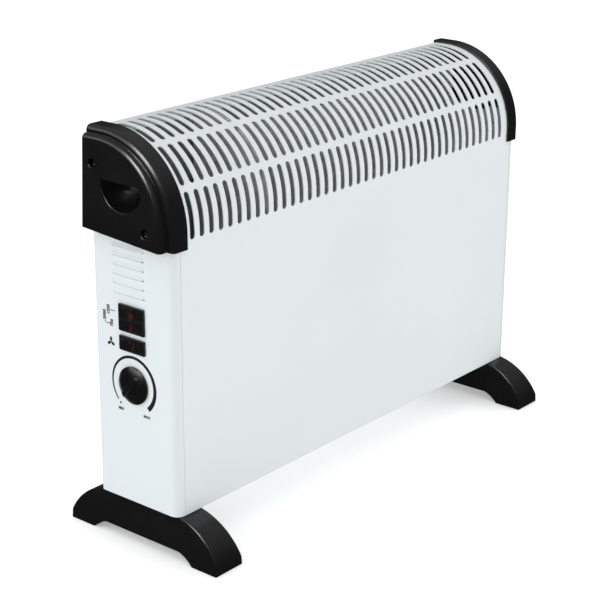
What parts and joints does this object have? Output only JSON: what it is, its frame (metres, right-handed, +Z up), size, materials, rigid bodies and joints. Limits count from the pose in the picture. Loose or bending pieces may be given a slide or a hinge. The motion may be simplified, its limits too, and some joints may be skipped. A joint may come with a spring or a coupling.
{
  "type": "fan convector heater",
  "caption": "Free-standing fan convector heater: slotted sheet-steel casing on two feet, black end caps with finger scoops, rocker switches and thermostat knob on the left side.",
  "frame": {"origin": "on the floor, below the middle of the casing", "axes": "+X along the heater towards its right end, -Y to the front, +Z up"},
  "size_m": [0.5456, 0.183, 0.3853],
  "materials": {
    "white_paint": "white powder coat on sheet steel, semi-gloss",
    "black_moulding": "black heat-resistant moulding, fine satin texture",
    "black_screw": "blackened steel screw",
    "zinc_screw": "zinc-plated steel",
    "switch_black": "glossy black nylon",
    "rocker_amber": "dark smoked amber translucent rocker",
    "blade_brass": "tinned brass",
    "knob_black": "black moulding, satin",
    "shaft_steel": "turned steel",
    "stat_ceramic": "cream steatite",
    "bimetal_steel": "rolled bimetal",
    "galvanised": "galvanised sheet with spangle",
    "mica": "pressed mica board",
    "resistance_wire": "oxidised resistance wire",
    "cutout_black": "phenolic body",
    "lamination": "blued laminations",
    "bridge_alloy": "die-cast alloy",
    "bush_bronze": "sintered bronze",
    "impeller_plastic": "black glass-filled nylon",
    "bobbin_white": "natural nylon",
    "coil_copper": "enamelled copper winding",
    "gland_black": "black nylon bush",
    "block_white": "natural polyamide",
    "lead_brown": "brown insulated lead",
    "lead_white": "white heat-resistant sleeving",
    "lead_blue": "blue insulated lead",
    "lead_black": "black insulated lead"
  },
  "bodies": {
    "casing": {"base_plate": "white_paint", "cable_gland": "gland_black", "coil_bobbin": "bobbin_white", "earth_nut": "zinc_screw", "earth_stud": "zinc_screw", "element_leads": "lead_white", "element_studs": "zinc_screw", "end_cap_screws": "black_screw", "fan_bracket": "galvanised", "fan_leads": "lead_black", "fan_switch_blades": "blade_brass", "fan_switch_housing": "switch_black", "foot_screws": "zinc_screw", "front_heat_shield": "galvanised", "front_panel": "white_paint", "heat_switch_blades": "blade_brass", "heat_switch_housing": "switch_black", "high_heat_board": "mica", "high_heat_wire": "resistance_wire", "left_bulkhead": "galvanised", "left_element_bracket": "galvanised", "left_end_cap": "black_moulding", "left_foot": "black_moulding", "left_side_panel": "white_paint", "low_heat_board": "mica", "low_heat_wire": "resistance_wire", "lower_motor_bridge": "bridge_alloy", "motor_bushes": "bush_bronze", "motor_coil": "coil_copper", "motor_screws": "zinc_screw", "motor_stator": "lamination", "rear_panel": "white_paint", "rear_panel_screws": "zinc_screw", "rear_reflector": "galvanised", "right_element_bracket": "galvanised", "right_end_cap": "black_moulding", "right_foot": "black_moulding", "right_heat_shield": "galvanised", "right_side_panel": "white_paint", "supply_leads": "lead_brown", "terminal_block": "block_white", "terminal_screws": "blade_brass", "thermal_cutout": "cutout_black", "thermostat_bimetal_strip": "bimetal_steel", "thermostat_blades": "blade_brass", "thermostat_body": "stat_ceramic", "thermostat_leads": "lead_blue", "thermostat_screws": "zinc_screw", "upper_motor_bridge": "bridge_alloy"},
    "low_heat_rocker": {"low_heat_rocker": "rocker_amber"},
    "high_heat_rocker": {"high_heat_rocker": "rocker_amber"},
    "fan_rocker": {"fan_rocker": "rocker_amber"},
    "thermostat_dial": {"thermostat_knob": "knob_black", "thermostat_shaft": "shaft_steel"},
    "fan_wheel": {"fan_shaft": "shaft_steel", "motor_rotor": "lamination", "fan_impeller": "impeller_plastic", "impeller_clip": "shaft_steel"}
  },
  "joints": [
    {"name": "low_heat_rocker_tilt", "type": "hinge", "parent": "casing", "child": "low_heat_rocker", "pos_m": [-0.2615, 0.0029, 0.2245], "axis": [0, 0, 1], "range_deg": [-16, 0]},
    {"name": "high_heat_rocker_tilt", "type": "hinge", "parent": "casing", "child": "high_heat_rocker", "pos_m": [-0.2615, 0.0029, 0.2133], "axis": [0, 0, 1], "range_deg": [-16, 0]},
    {"name": "fan_rocker_tilt", "type": "hinge", "parent": "casing", "child": "fan_rocker", "pos_m": [-0.2615, 0.0029, 0.1952], "axis": [0, 0, 1], "range_deg": [-16, 0]},
    {"name": "thermostat_turn", "type": "hinge", "parent": "casing", "child": "thermostat_dial", "pos_m": [-0.262, 0.003, 0.1574], "axis": [1, 0, 0], "range_deg": [0, 270]},
    {"name": "fan_spin", "type": "hinge", "parent": "casing", "child": "fan_wheel", "pos_m": [0.062, 0, 0.1], "axis": [0, 0, 1], "continuous": true}
  ]
}
